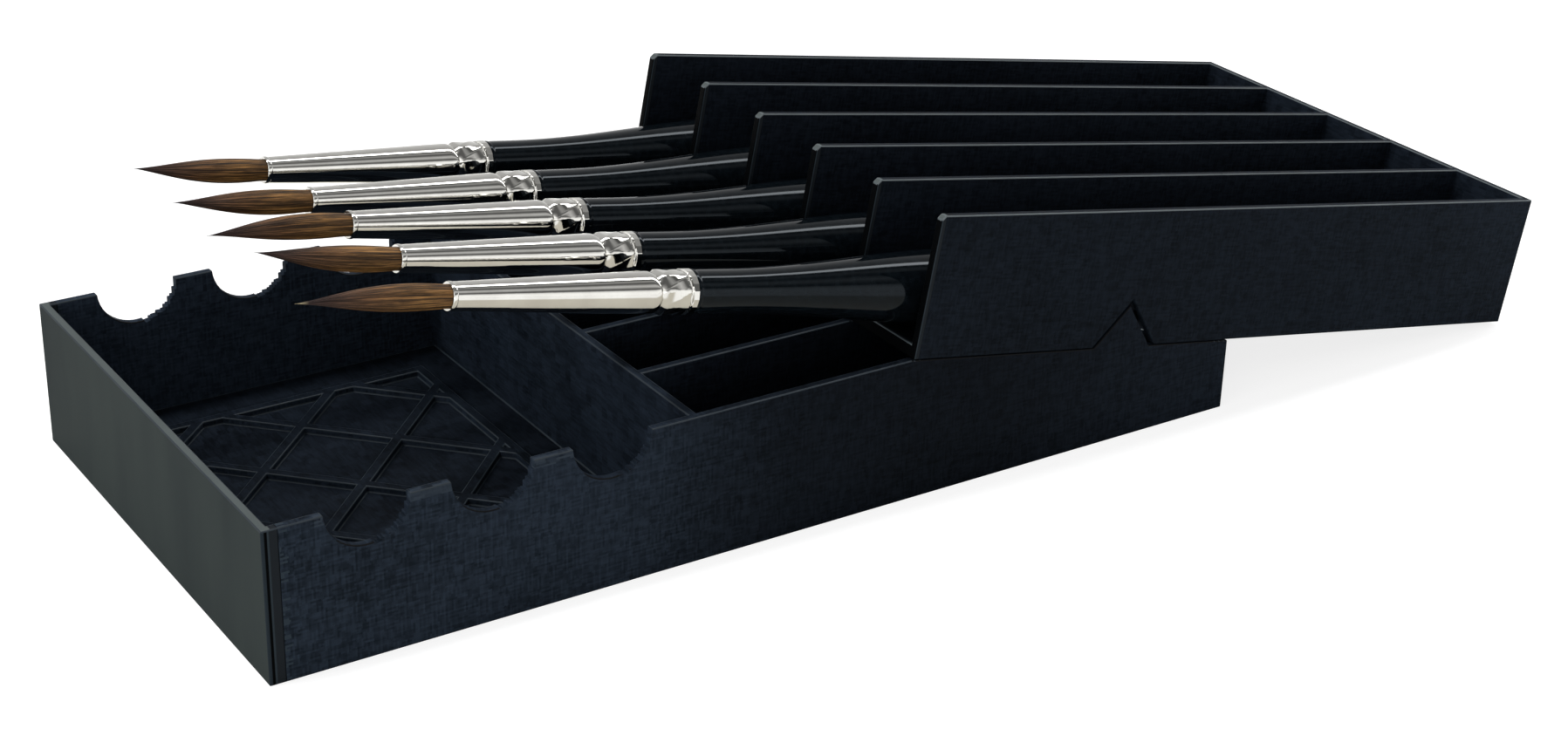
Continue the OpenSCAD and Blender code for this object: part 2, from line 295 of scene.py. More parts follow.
def litWornEdge(name, wornLit, specular, dashFrom=None):
    # Edges of the print painted paler, a painted highlight in patches like wear, and rubbed shinier by
    # handling. On the base they stay dark inside the rests, painted shade, and past dashFrom, on the slope,
    # the layers' ends break the painted highlight into dashes
    look = edgeLook
    material, tree = newMaterial(name)
    place = addNode(tree, "ShaderNodeTexCoord").outputs["Object"]
    wear = addNode(tree, "ShaderNodeTexNoise",
                   {"Vector": place, "Scale": 1 / (look["patch"] * mm), "Detail": 3.0}).outputs[0]
    if dashFrom is not None:
        x, _, z = addNode(tree, "ShaderNodeSeparateXYZ", {0: place}).outputs
        along = addNode(tree, "ShaderNodeMath", {0: x, 1: 1 / (look["dash"] * mm)}, operation="MULTIPLY")
        dashes = addNode(tree, "ShaderNodeMath", {0: along.outputs[0], 1: 0.5}, operation="PINGPONG")
        gaps = mask(tree, (dashes.outputs[0], "below", look["dark"]), (x, "above", dashFrom * mm))
        # edges inside the rests are kept dark: painted shade
        shadedInRests = mask(tree, (z, "above", look["restsFrom"] * mm),
                       (z, "below", (shell["baseHeight"] - look["restsUnder"]) * mm),
                       (x, "above", (look["endWall"] - shell["baseLength"] / 2) * mm))
        paintedDark = addNode(tree, "ShaderNodeMath", {0: gaps, 1: shadedInRests}, operation="MAXIMUM").outputs[0]
        wear = addNode(tree, "ShaderNodeMath", {0: wear, 1: paintedDark}, operation="SUBTRACT").outputs[0]
    tone = setRamp(addNode(tree, "ShaderNodeValToRGB", {0: wear}),
                   list(zip(look["wear"], (look["fresh"], wornLit, wornLit))))
    shine = addNode(tree, "ShaderNodeMapRange",
                    {"Value": wear, "From Min": look["smoothFrom"], "From Max": look["wear"][-1],
                     "To Min": look["roughness"][0], "To Max": look["roughness"][1]})
    surface = addNode(tree, "ShaderNodeBsdfPrincipled",
                      {"Base Color": tone.outputs[0], "Roughness": shine.outputs[0],
                       "Specular IOR Level": specular})
    addNode(tree, "ShaderNodeOutputMaterial", {"Surface": surface.outputs[0]})
    return material


def prism(outline, width):
    # an outline in x, z carried along y, closed with one cap at each end
    outline = np.asarray(outline, float)
    count = len(outline)
    ends = [np.column_stack([outline[:, 0], np.full(count, y), outline[:, 1]])
            for y in (-width / 2, width / 2)]
    k = np.arange(count)
    sides = np.column_stack([k, (k + 1) % count, (k + 1) % count + count, k + count])
    return np.vstack(ends), sides.tolist() + [k[::-1].tolist(), (k + count).tolist()]


def restTeeth(centreX):
    # stairs outside the right flank of a rest: each tread lies a random depth below the circle, each riser is
    # one tooth pitch on. The outline closes inside the opening, where it cuts nothing.
    radius = shell["restRadius"]
    side = radius + shell["toothPast"]
    x = np.arange(shell["toothFrom"], radius, shell["toothPitch"])
    seed = int(centreX + shell["baseLength"])
    z = -np.sqrt(radius ** 2 - x ** 2) - shell["toothDepth"] * np.random.default_rng(seed).random(len(x))
    stairs = np.column_stack([np.column_stack([x, np.append(x[1:], side)]).ravel(), np.repeat(z, 2)])
    inset, top = shell["toothFrom"] / 2, shell["toothTop"]
    inside = [[side, top], [inset, top], [inset, shell["toothFoot"] - radius]]
    return np.vstack([stairs, inside]) + [centreX, shell["baseHeight"] + shell["restRise"]]


def cutterObject(name, outlines, width):
    points, faces, start = [], [], 0
    for outline in outlines:
        corners, walls = prism(outline, width)
        points.append(corners)
        faces += [[k + start for k in face] for face in walls]
        start += len(corners)
    cutter = meshObject(name, np.vstack(points), faces, plasticBase)
    bm = bmesh.new()
    bm.from_mesh(cutter.data)
    bmesh.ops.recalc_face_normals(bm, faces=bm.faces)
    bm.to_mesh(cutter.data)
    bm.free()
    return cutter


def faceMaterials(mesh):
    kinds = np.empty(len(mesh.polygons), int)
    mesh.polygons.foreach_get("material_index", kinds)
    return kinds


def printedShell(node, name, materials, cutter=None):
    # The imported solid's own faces, welded, with rounded edges: a printer can't lay a sharp corner
    weld, flatWithin = 0.0005 * mm, math.radians(0.4)
    bm = bmesh.new()
    bm.from_mesh(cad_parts[node].data)
    bmesh.ops.remove_doubles(bm, verts=bm.verts, dist=weld)
    bmesh.ops.dissolve_limit(bm, angle_limit=flatWithin, verts=bm.verts, edges=bm.edges)
    mesh = bpy.data.meshes.new(name)
    bm.to_mesh(mesh)
    bm.free()
    mesh.materials.clear()
    for material in materials:
        mesh.materials.append(material)
    mesh.polygons.foreach_set("material_index", np.zeros(len(mesh.polygons), int))
    piece = bpy.data.objects.new(name, mesh)
    bpy.context.scene.collection.objects.link(piece)
    rounding = piece.modifiers.new("printed edges", "BEVEL")
    rounding.width = shell["edge"] * mm
    rounding.segments = 2
    rounding.limit_method = "ANGLE"
    rounding.angle_limit = math.radians(shell["edgeAngle"])
    rounding.use_clamp_overlap = False
    rounding.material = 1
    if cutter:
        cut = piece.modifiers.new("layer steps", "BOOLEAN")
        cut.operation = "DIFFERENCE"
        cut.solver = "EXACT"
        cut.object = cutter
    depsgraph = bpy.context.evaluated_depsgraph_get()
    done = bpy.data.meshes.new_from_object(piece.evaluated_get(depsgraph))
    piece.modifiers.clear()
    piece.data = done
    # only edges that face up get the pale edge material, a painted highlight with wear; the others keep the
    # finish of the wall
    normals = np.empty(len(done.polygons) * 3)
    done.polygons.foreach_get("normal", normals)
    kinds = np.where(normals[2::3] < shell["litFrom"], 0, faceMaterials(done))
    done.polygons.foreach_set("material_index", kinds)
    if cutter:
        bpy.data.objects.remove(cutter)
    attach(piece, node)
    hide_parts(node)
    print(name, len(done.polygons), "faces")
    return piece


# each ramp of levels is painted shade that darkens the plastic's colour along its length
plasticBase = printedPlastic(
    "blackPlaPrintedBase", bedX=-shell["baseLength"] / 2, strip=2.9, ticks=1.1,
    paintedFade=[(0, 1.0), (40, 0.85), (70, 0.74), (100, 0.28), (140, 0.22), (200, 0.46)])
plasticTray = printedPlastic(
    "blackPlaPrintedTray", bedX=0.0, strip=1.4, ticks=0.0, paintedFade=[(0, 0.34), (90, 0.36), (156, 0.48)],
    lean=tilt, origin=(kinkX, 0, shell["baseHeight"]))
bedMaterial = bedFace("blackPlaBedFace")
# pale edges: painted highlight, in patches like wear
edgeOfBase = litWornEdge("blackPlaLitWornEdgeBase", "#262d33", 0.1, kinkX)
edgeOfTray = litWornEdge("blackPlaLitWornEdgeTray", "#3a4347", 0.5)

firstRest = -shell["baseLength"] / 2 + shell["restFirst"]
restCentres = firstRest + shell["restPitch"] * np.arange(shell["restCount"])
past = 10                               # mm, the cutter is this much wider than the box
cutter = cutterObject("restCutter", [restTeeth(x) for x in restCentres], shell["baseWidth"] + past)
baseShell = printedShell("base", "baseShell", (plasticBase, edgeOfBase, bedMaterial), cutter)
printedShell("tray", "trayShell", (plasticTray, edgeOfTray))

# the end face that lay on the bed has a material of its own, its colour a painted sheen
centres = np.empty(len(baseShell.data.polygons) * 3)
baseShell.data.polygons.foreach_get("center", centres)
onBed = centres[0::3] < (shell["onBed"] - shell["baseLength"] / 2) * mm
baseShell.data.polygons.foreach_set("material_index", np.where(onBed, 2, faceMaterials(baseShell.data)))


print("brushes")
brush = {
    "hairLength": 25.8, "hairWidth": 4.55, "widest": 0.73, "taper": 1.4, "root": 8,
    "ferruleLength": 46.2, "mouth": 4.7, "cone": 7.4, "band": 8.0, "metal": 0.35,
    # places on the ferrule, measured from the handle's end, and the drop from the cone to the groove
    "coneEnd": 8.8, "grooveEnd": 7.3, "bandStart": 6.6, "bandEnd": 1.6, "ringStart": 1.35, "drop": 0.55,
    "neck": 7.7, "belly": 14, "swell": 61, "tail": 61, "end": 3.8, "straightNeck": 7,
    "spigot": 30, "fit": 0.03,
    # how far the points lie out of the tray, the gap under the belly, and the tray's own floor and channels
    "reach": 114.4, "restGap": 0.3, "trayFloor": 2.4, "pitch": 19.68, "inMiddle": 2,
    # each brush's own place: further out, to the side, and degrees to the side and up
    "reachMore": [1.9, 1.3, 0.2, -0.1, 0.1], "sideShift": [-0.8, 0.2, 0.3, 1.1, -0.5],
    "swing": [-0.4, -1, -0.6, -2.5, -2.1], "tipLift": [1.4, 1, 0.3, -0.5, -0.8],
    # how far each tuft's point curls up, and how much longer than the rest it has dried
    "curl": [-0.75, 1.65, -1.4, 0.8, 1.25], "longer": [0.75, 0, 0, 0, -0.6],
}
handleStart = brush["hairLength"] + brush["ferruleLength"]
bellyAt = handleStart + brush["swell"]
endAt = bellyAt + brush["tail"]
coneLength = brush["ferruleLength"] - brush["coneEnd"]

# the bore that takes the spigot: even under the groove and crimps, then as narrow as the cone allows
boreRadius = brush["cone"] / 2 - brush["drop"] - brush["metal"]
boreAt = brush["ferruleLength"] - brush["spigot"]
coneAtBore = brush["mouth"] / 2 + (brush["cone"] - brush["mouth"]) / 2 * boreAt / coneLength
narrowBore = min(coneAtBore - brush["metal"], boreRadius)


def turnY(angle):
    c, s = math.cos(angle), math.sin(angle)
    return np.array([[c, 0, s], [0, 1, 0], [-s, 0, c]])


def turnZ(angle):
    c, s = math.cos(angle), math.sin(angle)
    return np.array([[c, -s, 0], [s, c, 0], [0, 0, 1]])


def layInChannel(points, k):
    # brush axis to box: shift the belly to 0, lift and swing the tip, move into channel k, tilt with the tray
    points = points - [bellyAt, 0, 0]
    points = points @ (turnY(math.radians(brush["tipLift"][k])) @ turnZ(math.radians(-brush["swing"][k]))).T
    middle = brush["trayFloor"] + brush["restGap"] + brush["belly"] / 2
    points = points + [bellyAt - brush["reach"] - brush["reachMore"][k],
                       (k - brush["inMiddle"]) * brush["pitch"] + brush["sideShift"][k], middle]
    points = points + [shell["trayShift"][0], 0, shell["trayShift"][1]]
    return points @ turnY(tilt).T + [kinkX, 0, shell["baseHeight"]]


def turnedFaces(rows, columns, closed=False):
    # quads between rings that wrap round; closed joins the last ring to the first, else each end gets a cap
    i, j = np.meshgrid(np.arange(rows if closed else rows - 1), np.arange(columns), indexing="ij")
    below, beside = (i + 1) % rows, (j + 1) % columns
    corners = [i * columns + j, i * columns + beside, below * columns + beside, below * columns + j]
    faces = np.stack(corners, axis=-1).reshape(-1, 4).tolist()
    if not closed:
        faces += [list(range(columns)), list(range(rows * columns - 1, (rows - 1) * columns - 1, -1))]
    return faces


def turnedPoints(s, radius, angle):
    # x = s, y = r cos a, z = r sin a
    return np.stack([s, radius * np.cos(angle), radius * np.sin(angle)], axis=-1).reshape(-1, 3)


def aroundAngles(count):
    return np.linspace(0, 2 * np.pi, count, endpoint=False)


def strandAttribute(mesh, s, angle, shift):
    # cos a, sin a and the distance along the brush, so that a pattern can run with the hair
    values = np.stack([np.cos(angle), np.sin(angle), s + shift], axis=-1)
    layer = mesh.attributes.new("strand", "FLOAT_VECTOR", "POINT")
    layer.data.foreach_set("vector", values.reshape(-1).astype(np.float32))


hairLook = {
    "seed": 40, "steps": 70, "around": 180,
    "crowding": 1.25,               # power by which the rings crowd towards the point
    "firstRing": 0.12, "pastMouth": 2.0,
    "ridges": (29, 41, 67, 97),     # locks round the tuft in each of the sets that cross
    # depth of a ridge, and how its phase turns along the hair: evenly, and to and fro
    "depth": 0.11, "drift": 0.12, "sway": 0.5, "swayLength": (5, 9),
    "fadeAtMouth": 1.5, "fadeAtPoint": 0.8,     # length, and radius, over which the ridges fade
    "least": 0.03,                  # radius at the point
    "strandGap": 60,                # each tuft's pattern starts this much further on
}


def hairRadius(s):
    # r = rMax (1 - (1 - s / widest)^2)^taper up to the widest place, then drawn in slightly to the mouth
    widestAt, rMax = brush["widest"] * brush["hairLength"], brush["hairWidth"] / 2
    mouthRadius = brush["mouth"] / 2 - brush["metal"] - brush["fit"]
    front = rMax * np.clip(1 - (1 - np.clip(s / widestAt, 0, 1)) ** 2, 0, 1) ** brush["taper"]
    backShare = np.clip((s - widestAt) / (brush["hairLength"] - widestAt), 0, 1)
    return np.where(s < widestAt, front, rMax - (rMax - mouthRadius) * backShare ** 2)


def hairPiece(k, material):
    # tuft: the turned radius less a sum of |sin| ridges whose phases drift along the hair, so locks cross and
    # part; towards the point it curls by the square of the free length
    look = hairLook
    rng = np.random.default_rng(look["seed"] + k)
    t = np.linspace(0, 1, look["steps"])
    root = brush["hairLength"] + np.array([look["pastMouth"], brush["root"]])
    s = np.concatenate([[look["firstRing"]], brush["hairLength"] * t[1:] ** look["crowding"], root])
    ss, aa = np.meshgrid(s, aroundAngles(look["around"]), indexing="ij")
    ridge = np.zeros_like(ss)
    for count in look["ridges"]:
        phase, drift = rng.uniform(0, 2 * np.pi), rng.uniform(-look["drift"], look["drift"])
        sway = look["sway"] * np.sin(ss / rng.uniform(*look["swayLength"]) + rng.uniform(0, 6))
        ridge += np.abs(np.sin((aa * count + phase + drift * ss + sway) / 2))
    ridge /= len(look["ridges"])
    outside = np.clip((brush["hairLength"] - ss) / look["fadeAtMouth"], 0, 1)
    radius = hairRadius(ss)
    cut = look["depth"] * outside * ridge * np.clip(radius / look["fadeAtPoint"], 0, 1)
    radius = np.maximum(radius - cut, look["least"])
    points = turnedPoints(ss, radius, aa)
    free = np.clip(1 - points[:, 0] / brush["hairLength"], 0, 1)
    points[:, 0] -= brush["longer"][k] * free
    points[:, 2] += brush["curl"][k] * free ** 2
    piece = meshObject(f"brush{k + 1}Hair", layInChannel(points, k), turnedFaces(*radius.shape), material,
                       f"brush_{k + 1}", f"brush_{k + 1}_hair", smoothAngle=60)
    strandAttribute(piece.data, ss, aa, look["strandGap"] * k)
    return piece


ferruleLook = {
    "around": 224,
    "facets": 8, "twist": 0.45, "corners": 0.975,     # crimps round the band, their corners rubbed to this
    "ringFacets": 18, "notch": 0.3,                   # end ring, and the notch before it
    "grooveTilt": 0.35, "tiltTowards": 0.6,           # mm, and the angle round the axis it leans to
    "tiltBefore": 3, "tiltAfter": 2,                  # mm over which the slant comes in and goes out
    "intoBand": 0.5,                                  # mm of the band over which it rises from the groove
    "lip": 0.12, "lipHalf": 0.4, "shoulder": 1.5, "endRounding": 0.12,
    # mesh rings: from, to and how many; the first from the mouth, the cone's from the mouth to a place
    # measured from the handle's end, the band's all measured from there
    "ringsAtMouth": (0, 0.85, 9), "ringsOnCone": (1.2, 9.2, 12),
    "ringsOnBand": [(8.8, 7.3, 9), (7.2, 6.0, 9), (5.8, 2.1, 14), (1.95, 1.25, 9), (1.1, 0.12, 4)],
}


def facetRadius(angle, t, outer, count):
    # crimp band: the lower of two sets of slanting planes, which meet in triangles round the band
    flat = outer * math.cos(math.pi / count)
    sector = 2 * np.pi / count
    up = (flat + (outer - flat) * t) / np.cos((angle + sector / 2) % sector - sector / 2)
    down = (outer - (outer - flat) * t) / np.cos(angle % sector - sector / 2)
    return np.minimum(np.minimum(up, down), outer * ferruleLook["corners"])


def ferruleRadius(s, angle):
    # s is measured from the mouth: bead lip, straight cone, round shoulder, slanted groove, crimps, end ring
    look, length, drop = ferruleLook, brush["ferruleLength"], brush["drop"]
    mouth, cone, band = brush["mouth"] / 2, brush["cone"] / 2, brush["band"] / 2
    before, after = look["tiltBefore"], look["tiltAfter"]
    tiltShare = np.clip((s - coneLength + before) / before, 0, 1) * np.clip((length - s) / after, 0, 1)
    s = s + look["grooveTilt"] * np.cos(angle - look["tiltTowards"]) * tiltShare
    body = mouth + (cone - mouth) * np.clip(s / coneLength, 0, 1)
    lip = look["lip"] * np.sqrt(np.clip(1 - ((s - look["lipHalf"]) / look["lipHalf"]) ** 2, 0, 1))
    shoulder = np.clip((s - coneLength) / look["shoulder"], 0, 1)
    radius = body + lip - drop * (1 - np.sqrt(1 - shoulder ** 2))

    grooveEnd, bandStart, bandEnd = [length - brush[place] for place in ("grooveEnd", "bandStart", "bandEnd")]
    rise = np.clip((s - grooveEnd) / (bandStart + look["intoBand"] - grooveEnd), 0, 1)
    t = np.clip((s - bandStart) / (bandEnd - bandStart), 0, 1)
    crimps = facetRadius(angle + look["twist"] * t, t, band, look["facets"])
    onBand = cone - drop + (crimps - cone + drop) * np.sin(rise * np.pi / 2)
    radius = np.where(s > grooveEnd, onBand, radius)

    ringSector = 2 * np.pi / look["ringFacets"]
    ring = band * math.cos(ringSector / 2) / np.cos(angle % ringSector - ringSector / 2)
    radius = np.where(s > length - brush["ringStart"], ring, radius)
    return radius - look["notch"] * np.clip(1 - np.abs(s - bandEnd) / look["notch"], 0, 1)


def ferrulePiece(k, material):
    # one closed skin: outside from the mouth to the end, then back along the bore
    look, length = ferruleLook, brush["ferruleLength"]
    coneFrom, coneTo, coneRings = look["ringsOnCone"]
    rings = [np.linspace(*look["ringsAtMouth"]), np.linspace(coneFrom, length - coneTo, coneRings)]
    rings += [np.linspace(length - a, length - b, count) for a, b, count in look["ringsOnBand"]]
    outside = np.concatenate(rings)
    angle = aroundAngles(look["around"])
    ss, aa = np.meshgrid(outside, angle, indexing="ij")
    outer = ferruleRadius(ss, aa)
    last = outer[-1] - look["endRounding"]
    mouthRadius = brush["mouth"] / 2 - brush["metal"]
    inner = [(length, last), (length, boreRadius), (coneLength, boreRadius), (boreAt, narrowBore),
             (0.0, mouthRadius)]
    allS = np.vstack([ss] + [np.full((1, len(angle)), s) for s, r in inner])
    allR = np.vstack([outer] + [np.broadcast_to(r, (1, len(angle))) for s, r in inner])
    points = turnedPoints(allS + brush["hairLength"], allR, np.broadcast_to(angle, allS.shape))
    return meshObject(f"brush{k + 1}Ferrule", layInChannel(points, k), turnedFaces(*allR.shape, closed=True),
                      material, f"brush_{k + 1}", f"brush_{k + 1}_ferrule", smoothAngle=8)


handleLook = {
    "seed": 7, "around": 96, "neckRings": (0.05, 2, 14),     # rings past the ferrule: from, to, how many
    "bodyFrom": 2.5, "bodyRings": 120, "capRings": 10,
    "spigotPast": 0.03, "point": 0.02,                   # where the spigot ends, and the last ring's radius
    "tailPower": 0.85,                                   # the tail falls early, then runs out slowly
    # lacquer that ran up to the ferrule: height, place, half length, where it starts, uneven share, its waves
    "bead": 0.1, "beadAt": 0.45, "beadHalf": 0.22, "beadFrom": 0.04, "uneven": 0.3, "waves": (3, 5),
}


def handleRadius(s):
    # straight neck, half a cosine up to the belly, a slower half cosine down the tail
    neck, belly, end = brush["neck"] / 2, brush["belly"] / 2, brush["end"] / 2
    rise = np.clip((s - handleStart - brush["straightNeck"]) / (brush["swell"] - brush["straightNeck"]), 0, 1)
    fall = np.clip((s - bellyAt) / brush["tail"], 0, 1) ** handleLook["tailPower"]
    up = neck + (belly - neck) * (1 - np.cos(np.pi * rise)) / 2
    down = end + (belly - end) * (1 + np.cos(np.pi * fall)) / 2
    return np.where(s < bellyAt, up, down)


def handlePiece(k, material):
    # spigot in the ferrule, then the turned body with a bead of lacquer at the ferrule and a round end
    look, end = handleLook, brush["end"] / 2
    rng = np.random.default_rng(look["seed"] + k)
    spigotRadius, boreFit = narrowBore - brush["fit"], boreRadius - brush["fit"]
    body = np.concatenate([handleStart + np.linspace(*look["neckRings"]),
                           np.linspace(handleStart + look["bodyFrom"], endAt - end, look["bodyRings"])])
    cap = np.linspace(0, np.pi / 2, look["capRings"])[1:-1]
    spigot = [handleStart - brush["spigot"], handleStart - brush["coneEnd"], handleStart + look["spigotPast"]]
    s = np.concatenate([spigot, body, endAt - end + end * np.sin(cap), [endAt]])
    r = np.concatenate([[spigotRadius, boreFit, boreFit], handleRadius(body), end * np.cos(cap),
                        [look["point"]]])
    ss, aa = np.meshgrid(s, aroundAngles(look["around"]), indexing="ij")
    bead = np.exp(-((ss - handleStart - look["beadAt"]) / look["beadHalf"]) ** 2)
    first, second = [np.sin(count * aa + rng.uniform(0, 6)) for count in look["waves"]]
    wobble = 1 - look["uneven"] + look["uneven"] * first * second
    radius = r[:, None] + np.where(ss > handleStart + look["beadFrom"], look["bead"] * bead * wobble, 0)
    return meshObject(f"brush{k + 1}Handle", layInChannel(turnedPoints(ss, radius, aa), k),
                      turnedFaces(*radius.shape), material,
                      f"brush_{k + 1}", f"brush_{k + 1}_handle", smoothAngle=40)


lacquerLook = {
    "tones": [(0.4, "#05080b"), (0.8, "#0c1115")], "tint": "#d3e2ee",
    "roughness": (0.05, 0.12), "specular": 0.17, "ior": 1.5,
    "dust": 1.2, "ripple": 6, "bump": 0.06, "bumpDepth": 0.3,      # mm, and the bump's strength
}


def lacquer():
    # Black lacquer dipped over turned wood: glossy, with a faint ripple that bends the reflections
    look = lacquerLook
    material, tree = newMaterial("blackLacquer")
    place = addNode(tree, "ShaderNodeTexCoord").outputs["Object"]
    ripple = addNode(tree, "ShaderNodeTexNoise",
                     {"Vector": place, "Scale": 1 / (look["ripple"] * mm), "Detail": 1.0})
    dust = addNode(tree, "ShaderNodeTexNoise",
                   {"Vector": place, "Scale": 1 / (look["dust"] * mm), "Detail": 3.0})
    shine = addNode(tree, "ShaderNodeMapRange",
                    {"Value": dust.outputs[0], "From Min": 0.35, "From Max": 0.75,
                     "To Min": look["roughness"][0], "To Max": look["roughness"][1]})
    tone = setRamp(addNode(tree, "ShaderNodeValToRGB", {0: dust.outputs[0]}), look["tones"])
    bump = addNode(tree, "ShaderNodeBump", {"Height": ripple.outputs[0], "Strength": look["bump"],
                                            "Distance": look["bumpDepth"] * mm})
    surface = addNode(tree, "ShaderNodeBsdfPrincipled",
                      {"Base Color": tone.outputs[0], "Roughness": shine.outputs[0], "IOR": look["ior"],
                       "Specular IOR Level": look["specular"], "Specular Tint": srgb(look["tint"]),
                       "Normal": bump.outputs[0]})
    addNode(tree, "ShaderNodeOutputMaterial", {"Surface": surface.outputs[0]})
    return material


nickelLook = {
    "tones": [(0.3, "#d1d0cb"), (0.75, "#c4c2bd")], "roughness": (0.03, 0.09),
    "smudge": 5, "marks": 0.7, "bump": 0.04, "bumpDepth": 0.1,     # mm, and the bump's strength
}


def nickel():
    # Drawn brass tube plated with bright nickel: a warm grey mirror with fine draw marks and faint smudges
    look = nickelLook
    material, tree = newMaterial("brightNickelPlate")
    place = addNode(tree, "ShaderNodeTexCoord").outputs["Object"]
    smudge = addNode(tree, "ShaderNodeTexNoise",
                     {"Vector": place, "Scale": 1 / (look["smudge"] * mm), "Detail": 4.0})
    marks = addNode(tree, "ShaderNodeTexNoise",
                    {"Vector": place, "Scale": 1 / (look["marks"] * mm), "Detail": 2.0})
    shine = addNode(tree, "ShaderNodeMapRange",
                    {"Value": smudge.outputs[0], "From Min": 0.3, "From Max": 0.75,
                     "To Min": look["roughness"][0], "To Max": look["roughness"][1]})
    tone = setRamp(addNode(tree, "ShaderNodeValToRGB", {0: smudge.outputs[0]}), look["tones"])
    bump = addNode(tree, "ShaderNodeBump", {"Height": marks.outputs[0], "Strength": look["bump"],
                                            "Distance": look["bumpDepth"] * mm})
    surface = addNode(tree, "ShaderNodeBsdfPrincipled",
                      {"Base Color": tone.outputs[0], "Metallic": 1.0, "Roughness": shine.outputs[0],
                       "Normal": bump.outputs[0]})
    addNode(tree, "ShaderNodeOutputMaterial", {"Surface": surface.outputs[0]})
    return material


sableLook = {
    # from the point to the ferrule
    "body": [(0.0, "#463a3f"), (0.2, "#5c463f"), (0.5, "#835e3c"), (0.8, "#9c7240"), (1.0, "#8e673b")],
    "depths": [(0.6, 0.03), (0.7, 0.12), (0.79, 0.36), (0.88, 1.0)],   # shade between and on the locks
    "squeeze": 0.008,                                  # the streaks change this little along the hair
    "streaks": 7.0, "fineStreaks": 38.0, "fineShare": 0.5,      # coarser than hairs, too fine to show
    "gum": "#9a8f74", "gumAt": (1.2, 2.4), "gumShare": 0.85,    # dried on the first brush's point
    "roughness": 0.45, "specular": 0.15, "bump": 0.5, "bumpDepth": 0.1,
}


def sable():
    # Sable: warm brown hair, darker and greyer towards the point, in fine streaks that run its length
    look = sableLook
    material, tree = newMaterial("sableHair")
    strand = addNode(tree, "ShaderNodeAttribute", attribute_name="strand").outputs["Vector"]
    squeezed = addNode(tree, "ShaderNodeMapping", {"Vector": strand, "Scale": (1, 1, look["squeeze"])})
    streaks = addNode(tree, "ShaderNodeTexNoise", {"Vector": squeezed.outputs[0], "Scale": look["streaks"],
                                                   "Detail": 6.0, "Roughness": 0.7})
    fine = addNode(tree, "ShaderNodeTexNoise",
                   {"Vector": squeezed.outputs[0], "Scale": look["fineStreaks"], "Detail": 3.0})
    along = addNode(tree, "ShaderNodeSeparateXYZ", {0: strand}).outputs["Z"]
    place = addNode(tree, "ShaderNodeMath", {0: along, 1: hairLook["strandGap"]}, operation="MODULO")
    share = addNode(tree, "ShaderNodeMath", {0: place.outputs[0], 1: 1 / brush["hairLength"]},
                    operation="MULTIPLY")
    body = setRamp(addNode(tree, "ShaderNodeValToRGB", {0: share.outputs[0]}), look["body"])
    blend = addNode(tree, "ShaderNodeMath", {0: fine.outputs[0], 1: look["fineShare"], 2: streaks.outputs[0]},
                    operation="MULTIPLY_ADD")
    depth = setRamp(addNode(tree, "ShaderNodeValToRGB", {0: blend.outputs[0]}), look["depths"])
    colour = addNode(tree, "ShaderNodeMix", {0: 1.0, 6: body.outputs[0], 7: depth.outputs[0]}, **asProduct)
    gum = addNode(tree, "ShaderNodeMapRange", {"Value": along, "From Min": look["gumAt"][0], "To Max": 0.0,
                                               "From Max": look["gumAt"][1], "To Min": look["gumShare"]})
    tipped = addNode(tree, "ShaderNodeMix", {0: gum.outputs[0], 6: colour.outputs[2], 7: srgb(look["gum"])},
                     **asColour)
    bump = addNode(tree, "ShaderNodeBump", {"Height": blend.outputs[0], "Strength": look["bump"],
                                            "Distance": look["bumpDepth"] * mm})
    surface = addNode(tree, "ShaderNodeBsdfPrincipled",
                      {"Base Color": tipped.outputs[2], "Roughness": look["roughness"],
                       "Specular IOR Level": look["specular"], "Normal": bump.outputs[0]})
    addNode(tree, "ShaderNodeOutputMaterial", {"Surface": surface.outputs[0]})
    return material


hairMaterial, nickelMaterial, lacquerMaterial = sable(), nickel(), lacquer()
for k in range(len(brush["curl"])):
    hairPiece(k, hairMaterial)
    ferrulePiece(k, nickelMaterial)
    handlePiece(k, lacquerMaterial)
    print("brush", k + 1, "done")


print("studio")
studio = {
    "floorSize": 12.0,            # m
    # the floor's colour for the light that it gives back, and as metal shows it near the box, darker there as
    # painted shade
    "floorShaded": "#d9d9d6", "floorMirroredShade": "#c9c5ba",
    "floorFar": (0.21, 0.29),     # m from the box, where the floor in the metal turns from pale grey to white
    "floorGlow": 0.8, "floorLit": "#a0a0a0",    # its own white for the camera, and what the light adds
    # light banks parallel to the box: angle over the box from the front horizon, and brightness
    "banks": [(0, 1.5), (15, 1.5), (23, 1.0), (28, 0.16), (34, 0.16), (40, 0.45), (48, 0.75), (56, 0.45),
              (62, 0.14), (69, 0.16), (76, 0.42), (82, 0.34), (87, 0.1), (93, 0.1), (96, 9.0), (104.5, 9.0),
              (107, 0.6), (116, 0.5), (127, 0.6), (150, 0.7), (180, 0.9)],
    "bankPeak": 9.0,
    # a soft box on the left, at the low end of the well: brightness, and where it fades in to the left and up
    "sideBank": 1.2, "sideLeft": (-0.5, -0.72), "sideUp": (0.02, 0.2),
}


